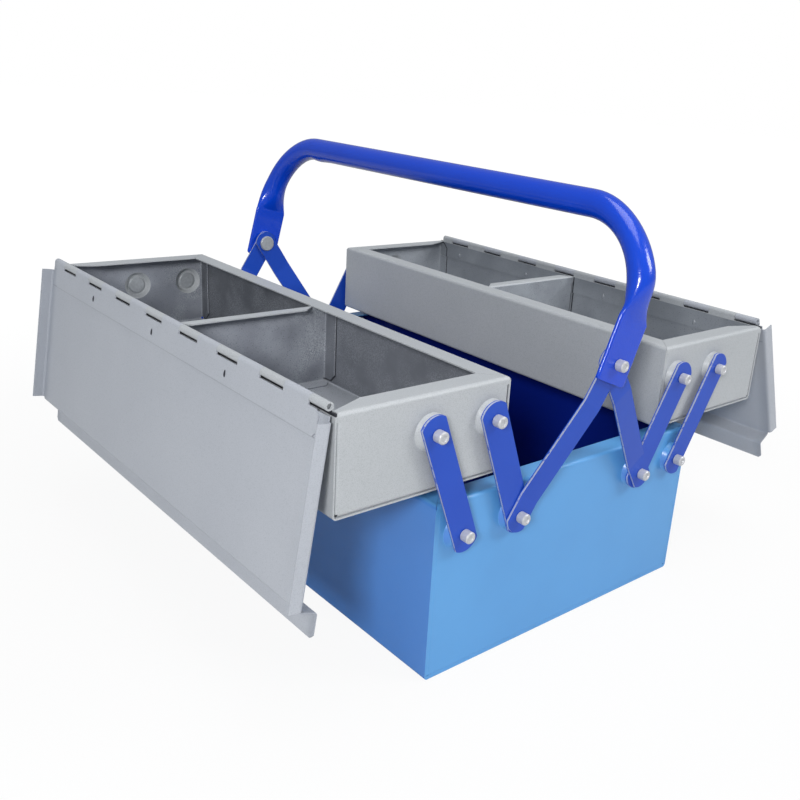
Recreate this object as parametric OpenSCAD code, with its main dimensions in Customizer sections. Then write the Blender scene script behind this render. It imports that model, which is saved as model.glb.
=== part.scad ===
// Cantilever tool box: a base box, two trays that swing out on flat arms, a hinged lid on each
// tray, and a bent tube handle on a fixed frame of four links.
// X runs along the box with its near end at +X, Y runs across it with the left tray towards -Y,
// and Z is up. The origin is the middle of the base box's underside.

/* [Base box] */
// Length of the base box and of both trays
box_l = 400; // [370:1:430]
// Width of the base box, which the two closed trays share
box_w = 256; // [246:1:270]
// Height of the base box
base_h = 124; // [112:1:140]
// Thickness of the base box's sheet
base_t = 1; // [0.8:0.1:1.2]
// Width of the rim turned in round the mouth of the base box
base_rim = 15; // [10:1:18]
// Depth of the flanges round each base end panel
base_flange = 11; // [9:1:13]

/* [Trays] */
// Height of a tray's walls
tray_h = 62; // [59:1:70]
// Thickness of a tray's sheet
tray_t = 1; // [0.8:0.1:1.2]
// Width of the rim turned in round the mouth of a tray
tray_rim = 15; // [11:1:18]
// Depth of the flanges round each tray end panel
tray_flange = 11; // [9:1:13]
// Length over which an end panel's rim narrows beside the hinge
rim_taper_l = 24; // [12:1:32]
// Width of an end panel's rim where it meets the hinge
rim_taper_w = 5; // [4:0.5:8]
// Distance of the divider from the middle of its tray
divider_shift = 2; // [0:1:60]
// Width of the lip folded along the divider's top edge
divider_lip = 10; // [7:0.5:12]
// Depth of the divider's side and foot flanges
divider_flange = 13; // [10:1:15]
// Cut across the corners of the folded flanges
corner_cut = 5; // [3:0.5:6]

/* [Linkage] */
// Distance between the two pivots of a tray arm
arm_l = 76.5; // [74:0.5:78]
// Width of the strips that the outer arms and the handle links are cut from
strip_w = 18; // [16:0.5:19]
// Thickness of these strips
strip_t = 2; // [1.5:0.1:2.4]
// Width of the inner arms, which are cut from a wider strip
inner_arm_w = 20; // [16:0.5:21]
// Radius of the arc at each end of an arm
arm_end_r = 12; // [10.5:0.25:13]
// Radius of the arc at each end of a handle link
link_end_r = 11; // [10.5:0.25:12]
// Drop from the mouth of the base box to its pivots
pivot_drop = 21.5; // [20:0.5:26]
// Inset of the outer base pivots from the side of the base box
outer_pivot_inset = 19; // [18:0.5:22]
// Inset of a tray's inner pivots from its inner wall
tray_pivot_inset = 15.5; // [15:0.5:19]
// Height of a tray's pivots above its underside
tray_pivot_z = 38.5; // [36:0.5:40]
// Swing of the left tray as drawn, from -1 when closed, past 0 when its arms stand upright
left_swing_share = 0.563; // [-0.55:0.001:0.9]
// Swing of the right tray as drawn
right_swing_share = 0.772; // [-0.55:0.001:0.9]

/* [Pivots] */
// Diameter of a rivet's shank
rivet_d = 6.4; // [5:0.1:7]
// Diameter of a rivet's set end
set_d = 7.8; // [7.4:0.1:9]
// Length of a rivet's set end
set_l = 6.2; // [4:0.2:7.6]
// Diameter of a rivet's flat head
head_d = 14; // [11:0.5:16]
// Thickness of that head
head_t = 1.8; // [1.2:0.1:2]
// Height of the round bosses pressed out of the end panels
boss_h = 4; // [3:0.1:4.4]
// Diameter of a boss at its foot
boss_d = 23; // [23:0.5:26]
// Diameter of its flat top
boss_top_d = 18; // [18:0.5:20]

/* [Hinges and lids] */
// Diameter of a hinge's wire
wire_d = 3.2; // [2.6:0.1:3.6]
// Thickness of a hinge leaf
leaf_t = 1; // [0.8:0.1:1.2]
// Width of a hinge leaf from the wire
leaf_w = 19; // [16:0.5:24]
// Length of one hinge knuckle
knuckle_l = 25.4; // [20:0.2:30]
// Length of the cut knuckle at the start of a hinge
first_knuckle_l = 15.5; // [8:0.5:22]
// Inset of a hinge's ends from the ends of its tray
hinge_inset = 4.5; // [2:0.5:8]
// Inset of a lid leaf's ends from the ends of its tray
lid_leaf_inset = 9.5; // [8:0.5:12]
// Depth of the wire's ends inside the last knuckles
wire_recess = 1.2; // [0.5:0.1:3]
// Depth of the slots cut in a leaf for the other leaf's knuckles
slot_w = 3.5; // [3.2:0.1:4.5]
// Height of the wire above the wall that carries it
hinge_rise = 3; // [2.8:0.1:4]
// Thickness of a lid's sheet
lid_t = 1; // [0.8:0.1:1.2]
// Width of a lid from the wire to its first fold
lid_w = 117.5; // [108:0.5:119]
// Rise of the step folded along a lid's free edge
lip_rise = 12; // [9:0.5:15]
// Forward slant of that step
lip_slant = 2.5; // [0:0.5:3]
// Width of the lip beyond the step
lip_w = 16.5; // [9:0.5:17]
// Depth of the flanges at a lid's ends
lid_flange = 9; // [7:0.5:10]
// Start of these flanges below the wire
lid_flange_start = 7.5; // [6:0.5:12]
// Angle that the left lid hangs away from straight down, as drawn
left_lid_hang = 8.5; // [7.5:0.5:120]
// Angle that the right lid hangs away from straight down, as drawn
right_lid_hang = 23.5; // [7.5:0.5:120]

/* [Handle] */
// Height of the handle's pivots above the base pivots
handle_rise = 97; // [94:0.5:110]
// Outside diameter of the handle's tube
tube_d = 19; // [16:0.5:21]
// Wall of the handle's tube
tube_t = 1.2; // [1:0.1:1.6]
// Height of the grip's middle line above the handle's pivots
handle_h = 96.5; // [90:0.5:120]
// Radius of the handle's bends, on the tube's middle line
handle_bend_r = 58; // [45:1:60]
// Width of the flattened lugs
lug_w = 31; // [26:0.5:32]
// Thickness of the flattened lugs
lug_t = 3; // [2.4:0.1:3.4]
// Length of a lug below its pivot
lug_foot = 13; // [11:0.5:16]
// Length of a lug above its pivot
lug_l = 32; // [29:0.5:36]
// Turn of the near lug about its pivot, out of line with the tube
near_lug_skew = 8; // [0:0.5:10]
// Lean of the handle towards the right tray, as drawn
handle_lean = 14; // [-70:0.5:70]

/* [Clearances] */
// Gap between flat pieces that turn against each other
side_gap = 0.15; // [0.1:0.05:0.25]
// Gap round a pin that something turns on
running_gap = 0.05; // [0.03:0.01:0.1]
// Gap between a closed tray and the rim of the base box
seat_gap = 0.85; // [0.5:0.05:1.5]
// Half the gap between the two closed trays
centre_gap = 0.64; // [0.4:0.02:1.2]
// Gap between a lid's end flanges and the ends of its tray
lid_gap = 0.4; // [0.3:0.1:0.8]
// Gap left in each mitred corner of a rim
mitre_gap = 0.3; // [0.2:0.1:0.6]

/* [Hidden] */

$fn = 48;
hull_fn = 32;
// Overrun of every cut
over = 1;
// Middle-line radius of the folds, and the flat steps in each drawn fold
bend_r = 2;
bend_n = 5;
// Rounding of a rivet's edges and the dimple in its set end
rivet_round = 0.7;
dimple_d = 4.2;
dimple_depth = 0.8;
// Straight foot and straight top of a handle link, measured from its pivots
link_foot = 13;
link_head = 31;
link_bend_r = 12;
// Room between a tray rivet's set end and the link that it passes under
link_pass = 2.3;
// Height over which a lug opens out into the round tube, and the waist on its way
flare_l = 18;
flare_waist_share = 0.4;
waist_thick_share = 0.62;
waist_wide_share = 0.86;
lug_corner_r = 2.5;
slice_t = 0.2;
// Cuts across the corners of the hinge leaves and of a lid's lip
leaf_corner = 3.3;
lip_corner = 2.5;
// Share of the offset from lug to tube that the flattening leaves in the tube's middle line
tube_offset_share = 0.2;

half_l = box_l / 2;
half_w = box_w / 2;
tray_w = half_w;
base_pivot_z = base_h - pivot_drop;
// Lean of the arms with a tray closed on the base box, where its two walls meet over the middle
closed_lean = acos((pivot_drop + seat_gap + tray_pivot_z) / arm_l);
inner_pivot_y = tray_pivot_inset + arm_l * sin(closed_lean) + centre_gap;
left_lean = closed_lean * left_swing_share;
right_lean = closed_lean * right_swing_share;
outer_pivot_y = half_w - outer_pivot_inset;
pivot_pitch = outer_pivot_y - inner_pivot_y;
tray_outer_pivot = tray_pivot_inset + pivot_pitch;

// Places along X, counted outwards from the face of an end panel
arm_x = boss_h + side_gap;
link_x = arm_x + strip_t + side_gap;
tray_set_x = link_x + set_l;
right_link_top_x = tray_set_x + link_pass;
left_link_top_x = right_link_top_x + strip_t + side_gap;
lug_x = left_link_top_x + strip_t + side_gap;
lug_mid_x = half_l + lug_x + lug_t / 2;

link_l = norm([inner_pivot_y, handle_rise]);
link_lean = atan2(inner_pivot_y, handle_rise);
handle_z = base_pivot_z + handle_rise;

leaf_face = tray_w - tray_t - leaf_t;
knuckle_bore_r = wire_d / 2 + running_gap;
knuckle_r = knuckle_bore_r + leaf_t;
hinge_y = leaf_face + knuckle_r;
hinge_z = tray_h + hinge_rise;
leaf_foot_z = hinge_z - leaf_w;
hinge_half_l = half_l - hinge_inset;
// A lid's sheet starts below the slots in its leaf
lid_start = slot_w + leaf_t;
lid_mid_y = knuckle_bore_r - lid_t / 2;
lid_side_x = half_l + lid_gap + lid_t / 2;

tube_mid_x = lug_mid_x + (tube_d - lug_t) * tube_offset_share;
bend_mid_x = tube_mid_x - handle_bend_r;
bend_mid_z = handle_h - handle_bend_r;
// Angle round the bend from the grip to the end of the round tube
bend_angle = acos((lug_l + flare_l - bend_mid_z) / handle_bend_r);

SHEET_BLUE = "#5c9bd8";
STRIP_BLUE = "#2f4fc4";
SHEET_GREY = "#b7bcc1";
RIVET_GREY = "#d5d8da";

// Folded sheet: an outline of thickness t round a middle line that bends with radius r
function unit(v) = v / norm(v);
function left_of(v) = [-v.y, v.x];
function turned(v, a) = [v.x * cos(a) - v.y * sin(a), v.x * sin(a) + v.y * cos(a)];
function turn_angle(a, b) = atan2(a.x * b.y - a.y * b.x, a * b);
function fold_at(p, q, s, r) =
    let(d1 = unit(q - p), a = turn_angle(d1, unit(s - q)), side = sign(a),
        c = q - d1 * r * tan(abs(a) / 2) + left_of(d1) * side * r)
    [for (k = [0 : bend_n]) let(n = left_of(turned(d1, a * k / bend_n))) [c - n * side * r, n]];
function fold_line(pts, r) =
    let(last = len(pts) - 1)
    concat([[pts[0], left_of(unit(pts[1] - pts[0]))]],
        [for (i = [1 : last - 1]) each fold_at(pts[i - 1], pts[i], pts[i + 1], r)],
        [[pts[last], left_of(unit(pts[last] - pts[last - 1]))]]);
module folded(pts, t, r = bend_r) {
    line = fold_line(pts, r);
    polygon(concat([for (q = line) q[0] + q[1] * t / 2],
        [for (i = [len(line) - 1 : -1 : 0]) line[i][0] - line[i][1] * t / 2]));
}

// Extrusions of a flat outline along each axis: (Y, Z) along X, (X, Z) along Y and (X, Y) along Z
module along_x(x0, x1) { translate([x0, 0, 0]) rotate([90, 0, 90]) linear_extrude(x1 - x0) children(); }
module along_y(y0, y1) { translate([0, y1, 0]) rotate([90, 0, 0]) linear_extrude(y1 - y0) children(); }
module along_z(z0, z1) { translate([0, 0, z0]) linear_extrude(z1 - z0) children(); }
// A round bar or bore along X
module bar_x(x0, x1, r) { translate([x0, 0, 0]) rotate([0, 90, 0]) cylinder(h = x1 - x0, r = r); }

// Frames: the far end mirrors the near one, and the left tray is the right one turned half round
module far() { mirror([1, 0, 0]) children(); }
function tray_y(lean) = inner_pivot_y + arm_l * sin(lean) - tray_pivot_inset;
function tray_z(lean) = base_pivot_z + arm_l * cos(lean) - tray_pivot_z;
module right_tray() { translate([0, tray_y(right_lean), tray_z(right_lean)]) children(); }
module left_tray() { rotate([0, 0, 180]) translate([0, tray_y(left_lean), tray_z(left_lean)]) children(); }
module lid_frame(hang) { translate([0, hinge_y, hinge_z]) rotate([hang, 0, 0]) children(); }
module right_lid_frame() { right_tray() lid_frame(right_lid_hang) children(); }
module left_lid_frame() { left_tray() lid_frame(left_lid_hang) children(); }

// Round boss pressed out of a sheet, along +X, with the rivet's hole in its top
module boss(t) {
    mid = boss_h - t / 2;
    rotate([0, 90, 0]) rotate_extrude()
        folded([[rivet_d / 2, mid], [boss_top_d / 2, mid], [boss_d / 2, -t / 2],
            [boss_d / 2 + t, -t / 2]], t, t);
}

// Outline on a rim that is cut away past the mitre at a corner; the corner lies at [0, y]
module mitre_of_end(y, rim) {
    polygon([[over, y - over + mitre_gap / 2], [-rim - over, y + rim + over + mitre_gap / 2],
        [-rim - over, y - over]]);
}
module mitre_of_pan(y, rim) {
    polygon([[over, y - over - mitre_gap / 2], [over, y + rim + over],
        [-rim - over, y + rim + over - mitre_gap / 2]]);
}

// End panel at the +X end of a pan whose walls stand at y0 and y1. It has a rim at its mouth,
// flanges at its sides and foot, and a boss for each pivot. Its outer face is at x = 0.
module end_panel(y0, y1, h, t, rim, flange, pivots, pivot_z) {
    fold = bend_r + t / 2;
    in0 = y0 + t;
    in1 = y1 - t;
    difference() {
        union() {
            intersection() {
                along_y(in0 + fold, in1 - fold)
                    folded([[-flange, t * 3 / 2], [-t / 2, t * 3 / 2], [-t / 2, h - fold]], t);
                along_z(0, h) polygon([[over, in0], [over, in1], [corner_cut - flange, in1 - fold],
                    [-flange, in1 - fold - corner_cut], [-flange, in0 + fold + corner_cut],
                    [corner_cut - flange, in0 + fold]]);
            }
            intersection() {
                along_z(t + fold, h - fold)
                    folded([[-flange, in0 + t / 2], [-t / 2, in0 + t / 2], [-t / 2, in1 - t / 2],
                        [-flange, in1 - t / 2]], t);
                along_y(in0, in1) polygon([[over, t], [over, h], [corner_cut - flange, h - fold],
                    [-flange, h - fold - corner_cut], [-flange, t + fold + corner_cut],
                    [corner_cut - flange, t + fold]]);
            }
            along_y(in0, in1)
                folded([[-t / 2, h - 2 * fold], [-t / 2, h - t / 2], [-rim, h - t / 2]], t);
        }
        for (y = pivots) translate([0, y, pivot_z]) bar_x(-t - over, over, boss_d / 2 + t / 2);
        along_z(h - fold, h + over) mitre_of_end(y0, rim);
        children();
    }
    for (y = pivots) translate([0, y, pivot_z]) boss(t);
}

module base_pan() {
    fold = bend_r + base_t / 2;
    mid_y = half_w - base_t / 2;
    mid_z = base_h - base_t / 2;
    color(SHEET_BLUE) difference() {
        along_x(-half_l, half_l) folded([[base_rim - half_w, mid_z], [-mid_y, mid_z], [-mid_y, base_t / 2],
            [mid_y, base_t / 2], [mid_y, mid_z], [half_w - base_rim, mid_z]], base_t);
        for (i = [0, 1]) for (j = [0, 1]) mirror([i, 0, 0]) mirror([0, j, 0])
            translate([half_l, 0, 0]) along_z(base_h - fold, base_h + over) mitre_of_pan(-half_w, base_rim);
    }
}

module base_end() {
    color(SHEET_BLUE) translate([half_l, 0, 0])
        end_panel(-half_w, half_w, base_h, base_t, base_rim, base_flange,
            [-outer_pivot_y, -inner_pivot_y, inner_pivot_y, outer_pivot_y], base_pivot_z)
        along_z(base_h - bend_r - base_t / 2, base_h + over) mirror([0, 1]) mitre_of_end(-half_w, base_rim);
}

module tray_pan() {
    fold = bend_r + tray_t / 2;
    mid_y = tray_w - tray_t / 2;
    color(SHEET_GREY) difference() {
        along_x(-half_l, half_l) folded([[tray_rim, tray_h - tray_t / 2], [tray_t / 2, tray_h - tray_t / 2],
            [tray_t / 2, tray_t / 2], [mid_y, tray_t / 2], [mid_y, tray_h]], tray_t);
        for (i = [0, 1]) mirror([i, 0, 0]) translate([half_l, 0, 0])
            along_z(tray_h - fold, tray_h + over) mitre_of_pan(0, tray_rim);
    }
}

// The rim narrows beside the hinge, and the panel leaves room for the hinge leaf behind its wall
module tray_end() {
    fold = bend_r + tray_t / 2;
    leaf_side = leaf_face - side_gap;
    color(SHEET_GREY) translate([half_l, 0, 0])
        end_panel(0, tray_w, tray_h, tray_t, tray_rim, tray_flange,
            [tray_pivot_inset, tray_outer_pivot], tray_pivot_z) {
            along_z(tray_h - fold, tray_h + over) polygon([[-tray_rim - over, leaf_side - rim_taper_l],
                [-tray_rim, leaf_side - rim_taper_l], [-rim_taper_w, leaf_side],
                [-tray_t, leaf_side], [-tray_t, tray_w], [-tray_rim - over, tray_w]]);
            along_z(leaf_foot_z - side_gap, tray_h + over) translate([-tray_flange - over, leaf_side])
                square([tray_flange + over - tray_t, tray_w - leaf_side]);
        }
}

// Divider across a tray: a plate with a folded lip, side flanges and a foot flange
module divider() {
    t = tray_t;
    fold = bend_r + t / 2;
    foot = tray_t;
    head = tray_h - tray_t - side_gap;
    plate_x = -divider_shift - t / 2;
    tip_x = -divider_shift - divider_flange;
    lip_x = -divider_shift - divider_lip;
    lip_y = tray_rim + side_gap;
    color(SHEET_GREY) {
        intersection() {
            along_y(lip_y, leaf_face)
                folded([[lip_x, tray_h - t / 2], [plate_x, tray_h - t / 2], [plate_x, head - 2 * fold]], t);
            along_z(foot, tray_h) polygon([[-divider_shift, lip_y], [-divider_shift, leaf_face],
                [plate_x - t, leaf_face], [lip_x, leaf_face - divider_lip], [lip_x, lip_y + divider_lip],
                [plate_x - t, lip_y]]);
        }
        intersection() {
            along_y(t + fold, leaf_face - fold)
                folded([[plate_x, head - fold], [plate_x, foot + t / 2], [tip_x, foot + t / 2]], t);
            along_z(0, tray_h) polygon([[-divider_shift, 0], [-divider_shift, tray_w],
                [tip_x + corner_cut, leaf_face - fold], [tip_x, leaf_face - fold - corner_cut],
                [tip_x, t + fold + corner_cut], [tip_x + corner_cut, t + fold]]);
        }
        intersection() {
            along_z(foot + fold, head)
                folded([[tip_x, t * 3 / 2], [plate_x, t * 3 / 2], [plate_x, leaf_face - t / 2],
                    [tip_x, leaf_face - t / 2]], t);
            along_y(0, tray_w) polygon([[-divider_shift, foot], [-divider_shift, head],
                [tip_x + corner_cut, head], [tip_x, head - corner_cut],
                [tip_x, foot + fold + corner_cut], [tip_x + corner_cut, foot + fold]]);
        }
    }
}

// Hinge: knuckle i runs from one of these places to the next, and the knuckles alternate
function knuckle_at(i) =
    i == 0 ? -hinge_half_l : min(hinge_half_l, first_knuckle_l - hinge_half_l + (i - 1) * knuckle_l);
knuckle_count = 1 + ceil((2 * hinge_half_l - first_knuckle_l) / knuckle_l);

module hinge_wire() {
    end_x = hinge_half_l - wire_recess;
    color(RIVET_GREY) translate([0, hinge_y, hinge_z]) bar_x(-end_x, end_x, wire_d / 2);
}

// Knuckles of one leaf round the wire at the origin; the leaf hangs down at the side towards -Y
module knuckles(start) {
    for (i = [start : 2 : knuckle_count - 1]) {
        x0 = knuckle_at(i) + side_gap / 2;
        x1 = knuckle_at(i + 1) - side_gap / 2;
        difference() {
            union() {
                bar_x(x0, x1, knuckle_r);
                translate([x0, -knuckle_r, -slot_w - leaf_t]) cube([x1 - x0, leaf_t, slot_w + leaf_t]);
            }
            bar_x(x0 - over, x1 + over, knuckle_bore_r);
        }
    }
}

// Flat plate centred on x = 0 in (X, Z), with cut corners
module plate_outline(half, z0, z1, corner) {
    polygon([[-half, z0 + corner], [corner - half, z0], [half - corner, z0], [half, z0 + corner],
        [half, z1 - corner], [half - corner, z1], [corner - half, z1], [-half, z1 - corner]]);
}

// The tray's leaf lies inside its outer wall, and stops short of the end panels below their rims
module tray_hinge_leaf() {
    end_x = half_l - tray_t - side_gap;
    rim_z = side_gap - hinge_rise;
    color(SHEET_GREY) translate([0, hinge_y, hinge_z]) difference() {
        union() {
            knuckles(0);
            along_y(-knuckle_r, leaf_t - knuckle_r) plate_outline(end_x, -leaf_w, -slot_w, leaf_corner);
        }
        for (i = [0, 1]) mirror([i, 0, 0]) translate([end_x, -2 * knuckle_r, -leaf_w])
            cube([half_l - end_x + over, 2 * knuckle_r, leaf_w + rim_z]);
    }
}

module lid_hinge_leaf() {
    end_x = half_l - lid_leaf_inset;
    color(SHEET_GREY) {
        mirror([0, 1, 0]) knuckles(1);
        along_y(knuckle_bore_r, knuckle_r) plate_outline(end_x, -leaf_w, -slot_w, leaf_corner);
    }
}

// Lid hanging straight down from the wire at the origin, with its end flanges towards +Y and the
// step along its free edge towards -Y
module lid() {
    step_z = -lid_w - lip_slant;
    step_y = lid_mid_y - lip_rise;
    panel_x = lid_side_x - lid_t / 2 - bend_r;
    color(SHEET_GREY) {
        intersection() {
            along_x(-panel_x, panel_x) folded([[lid_mid_y, -lid_start], [lid_mid_y, -lid_w],
                [step_y, step_z], [step_y, step_z - lip_w]], lid_t);
            along_y(-lip_rise - lid_w, lid_w) plate_outline(panel_x, step_z - lip_w, lip_corner, lip_corner);
        }
        along_z(-lid_w + bend_r, -lid_flange_start)
            folded([[-lid_side_x, lid_mid_y + lid_flange], [-lid_side_x, lid_mid_y],
                [lid_side_x, lid_mid_y], [lid_side_x, lid_mid_y + lid_flange]], lid_t);
    }
}

// Rivet along +X: a flat head behind x0, a shank through the sheets and a set end from x1
module rivet(x0, x1) {
    head_r = head_d / 2;
    set_r = set_d / 2;
    tip = x1 + set_l;
    color(RIVET_GREY) rotate([0, 90, 0]) rotate_extrude() polygon([
        [0, x0 - head_t], [head_r - rivet_round, x0 - head_t], [head_r, x0 - head_t + rivet_round],
        [head_r, x0], [rivet_d / 2, x0], [rivet_d / 2, x1], [set_r - rivet_round / 2, x1],
        [set_r, x1 + rivet_round / 2], [set_r, tip - rivet_round], [set_r - rivet_round, tip],
        [dimple_d / 2, tip], [dimple_d / 2 - dimple_depth / 2, tip - dimple_depth], [0, tip - dimple_depth]]);
}

module base_rivets() {
    inside = half_l + boss_h - base_t;
    for (i = [0, 1]) for (j = [0, 1]) mirror([i, 0, 0]) mirror([0, j, 0]) {
        translate([0, outer_pivot_y, base_pivot_z]) rivet(inside, half_l + link_x);
        translate([0, inner_pivot_y, base_pivot_z]) rivet(inside, half_l + link_x + strip_t);
    }
}

module tray_rivets() {
    for (i = [0, 1]) for (y = [tray_pivot_inset, tray_outer_pivot])
        mirror([i, 0, 0]) translate([0, y, tray_pivot_z]) rivet(half_l + boss_h - tray_t, half_l + link_x);
}

module handle_rivets() {
    for (i = [0, 1]) mirror([i, 0, 0]) translate([0, 0, handle_z])
        rivet(half_l + right_link_top_x, half_l + lug_x + lug_t + side_gap);
}

// Outline of a strip of width w whose pivots are l apart, in (Y, Z) with the lower pivot at the origin
module strip_outline(l, w, end_r) {
    intersection() {
        translate([-w / 2, -end_r]) square([w, l + 2 * end_r]);
        union() {
            circle(r = end_r);
            translate([0, l]) circle(r = end_r);
            translate([-w / 2, 0]) square([w, l]);
        }
    }
}

// Tray arm at the near end, from the base pivot at y, leaning away from straight up
module arm(y, w, lean) {
    hole_r = rivet_d / 2 + running_gap;
    color(STRIP_BLUE) translate([half_l + arm_x, y, base_pivot_z]) rotate([-lean, 0, 0]) difference() {
        along_x(0, strip_t) strip_outline(arm_l, w, arm_end_r);
        for (z = [0, arm_l]) translate([0, 0, z]) bar_x(-over, strip_t + over, hole_r);
    }
}

// Handle link at the near end, from the inner base pivot on one side to the handle's pivot. It
// bends outwards over the arm beside it, to top_x.
module link(side, top_x) {
    low = link_x + strip_t / 2;
    top = top_x + strip_t / 2;
    color(STRIP_BLUE) translate([half_l, side * inner_pivot_y, base_pivot_z]) rotate([side * link_lean, 0, 0])
        difference() {
            intersection() {
                along_y(-strip_w, strip_w) folded([[low, -2 * link_end_r], [low, link_foot],
                    [top, link_l - link_head], [top, link_l + 2 * link_end_r]], strip_t, link_bend_r);
                along_x(0, 2 * top) strip_outline(link_l, strip_w, link_end_r);
            }
            for (z = [0, link_l]) translate([0, 0, z]) bar_x(0, 2 * top, rivet_d / 2);
        }
}

// Thin slices that the handle's flare is drawn through, from the flat lug to the round tube
module flat_slice(t, w) {
    translate([lug_mid_x - t / 2, -w / 2, lug_l - slice_t]) cube([t, w, slice_t]);
}

module waist_slice(skew) {
    x = lug_mid_x + (tube_mid_x - lug_mid_x) * flare_waist_share;
    y = lug_l * sin(skew) * (1 - flare_waist_share);
    translate([x, y, lug_l + flare_l * flare_waist_share])
        resize([tube_d * waist_thick_share, lug_w * waist_wide_share, slice_t])
            cylinder(h = slice_t, r = tube_d, $fn = hull_fn);
}

module tube_slice(r) {
    bend_frame() rotate([0, 0, bend_angle]) translate([handle_bend_r, 0, 0]) rotate([90, 0, 0])
        cylinder(h = slice_t, r = r, $fn = hull_fn);
}

// Frame in the middle of the near bend's arc: its own +X points up, and its own +Y outwards
module bend_frame() {
    translate([bend_mid_x, 0, bend_mid_z]) rotate([-90, 0, 0]) rotate([0, 0, -90]) children();
}

// Outline of a lug in (Y, Z), with round corners at its foot
module lug_outline() {
    foot_y = lug_w / 2 - lug_corner_r;
    foot_z = lug_corner_r - lug_foot;
    translate([-lug_w / 2, foot_z]) square([lug_w, lug_l - foot_z]);
    translate([-foot_y, -lug_foot]) square([2 * foot_y, 2 * lug_corner_r]);
    for (i = [-1, 1]) translate([i * foot_y, foot_z]) circle(r = lug_corner_r);
}

// A lug and its flare. The flattened walls leave a slit between them, which opens into the tube.
// The lug is turned by skew about its pivot.
module handle_lug(skew) {
    tube_r = tube_d / 2;
    slit_t = lug_t - 2 * tube_t;
    slit_w = lug_w - 2 * tube_t;
    slit_l = lug_foot + over + lug_l;
    difference() {
        union() {
            rotate([-skew, 0, 0]) along_x(lug_mid_x - lug_t / 2, lug_mid_x + lug_t / 2) lug_outline();
            hull() {
                rotate([-skew, 0, 0]) flat_slice(lug_t, lug_w);
                waist_slice(skew);
            }
            hull() {
                waist_slice(skew);
                tube_slice(tube_r - tube_t / 2);
            }
        }
        bar_x(lug_mid_x - lug_t, lug_mid_x + lug_t, rivet_d / 2 + running_gap);
        rotate([-skew, 0, 0]) translate([lug_mid_x - slit_t / 2, -slit_w / 2, -lug_foot - over])
            cube([slit_t, slit_w, slit_l]);
        hull() {
            rotate([-skew, 0, 0]) flat_slice(slit_t, slit_w);
            tube_slice(tube_r - tube_t * 3 / 2);
        }
    }
}

// The round tube, with a bend at each end, filled out to radius r
module tube(r) {
    translate([0, 0, handle_h]) bar_x(-bend_mid_x, bend_mid_x, r);
    for (i = [0, 1]) mirror([i, 0, 0]) bend_frame()
        rotate_extrude(angle = bend_angle) translate([handle_bend_r, 0]) circle(r = r);
}

// Handle: a tube with two bends, flattened into a lug at each end. It is drawn upright about its
// pivots and then leant over.
module handle() {
    color(STRIP_BLUE) translate([0, 0, handle_z]) rotate([-handle_lean, 0, 0]) {
        handle_lug(near_lug_skew);
        far() handle_lug(0);
        difference() {
            tube(tube_d / 2);
            tube(tube_d / 2 - tube_t);
        }
    }
}

base_pan();
base_end();  // base_end_near
far() base_end();  // base_end_far
base_rivets();

left_tray() tray_pan();  // left_tray_pan
left_tray() far() tray_end();  // left_tray_end_near
left_tray() tray_end();  // left_tray_end_far
left_tray() divider();  // left_divider
left_tray() tray_hinge_leaf();  // left_tray_hinge_leaf
left_tray() hinge_wire();  // left_hinge_wire
left_tray() tray_rivets();  // left_tray_rivets
left_lid_frame() lid();  // left_lid
left_lid_frame() lid_hinge_leaf();  // left_lid_hinge_leaf

right_tray() tray_pan();  // right_tray_pan
right_tray() tray_end();  // right_tray_end_near
right_tray() far() tray_end();  // right_tray_end_far
right_tray() divider();  // right_divider
right_tray() tray_hinge_leaf();  // right_tray_hinge_leaf
right_tray() hinge_wire();  // right_hinge_wire
right_tray() tray_rivets();  // right_tray_rivets
right_lid_frame() lid();  // right_lid
right_lid_frame() lid_hinge_leaf();  // right_lid_hinge_leaf

arm(-inner_pivot_y, inner_arm_w, -left_lean);  // left_inner_arm_near
arm(-outer_pivot_y, strip_w, -left_lean);  // left_outer_arm_near
far() arm(-inner_pivot_y, inner_arm_w, -left_lean);  // left_inner_arm_far
far() arm(-outer_pivot_y, strip_w, -left_lean);  // left_outer_arm_far
arm(inner_pivot_y, inner_arm_w, right_lean);  // right_inner_arm_near
arm(outer_pivot_y, strip_w, right_lean);  // right_outer_arm_near
far() arm(inner_pivot_y, inner_arm_w, right_lean);  // right_inner_arm_far
far() arm(outer_pivot_y, strip_w, right_lean);  // right_outer_arm_far

link(-1, left_link_top_x);  // left_link_near
link(1, right_link_top_x);  // right_link_near
far() link(-1, left_link_top_x);  // left_link_far
far() link(1, right_link_top_x);  // right_link_far

handle();
handle_rivets();
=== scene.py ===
"""Looks of the cantilever tool box: painted sheet steel, hammered grey trays, blue arms and handle."""
import math

import bmesh
import bpy
from mathutils import Matrix, Vector


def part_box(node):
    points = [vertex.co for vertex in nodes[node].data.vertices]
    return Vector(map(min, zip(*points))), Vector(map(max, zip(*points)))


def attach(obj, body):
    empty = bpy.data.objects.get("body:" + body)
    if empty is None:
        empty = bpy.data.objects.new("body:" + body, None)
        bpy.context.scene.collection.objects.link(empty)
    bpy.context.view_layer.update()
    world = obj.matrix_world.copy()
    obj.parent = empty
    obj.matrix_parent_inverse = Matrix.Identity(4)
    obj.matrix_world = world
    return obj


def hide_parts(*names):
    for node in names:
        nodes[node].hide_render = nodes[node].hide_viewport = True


MM = 0.001
# Depth over which a sheet's rounded folds still carry the colour of its outside
SKIN = 0.85 * MM
SIDES = ("left", "right")

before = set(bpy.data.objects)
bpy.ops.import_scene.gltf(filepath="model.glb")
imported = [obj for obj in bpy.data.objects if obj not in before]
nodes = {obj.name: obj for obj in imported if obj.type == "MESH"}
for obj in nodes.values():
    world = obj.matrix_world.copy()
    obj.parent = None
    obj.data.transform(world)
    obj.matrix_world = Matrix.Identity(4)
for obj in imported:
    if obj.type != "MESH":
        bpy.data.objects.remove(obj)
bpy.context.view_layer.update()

# Camera, fitted to the photograph's 800 by 800 frame

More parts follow.
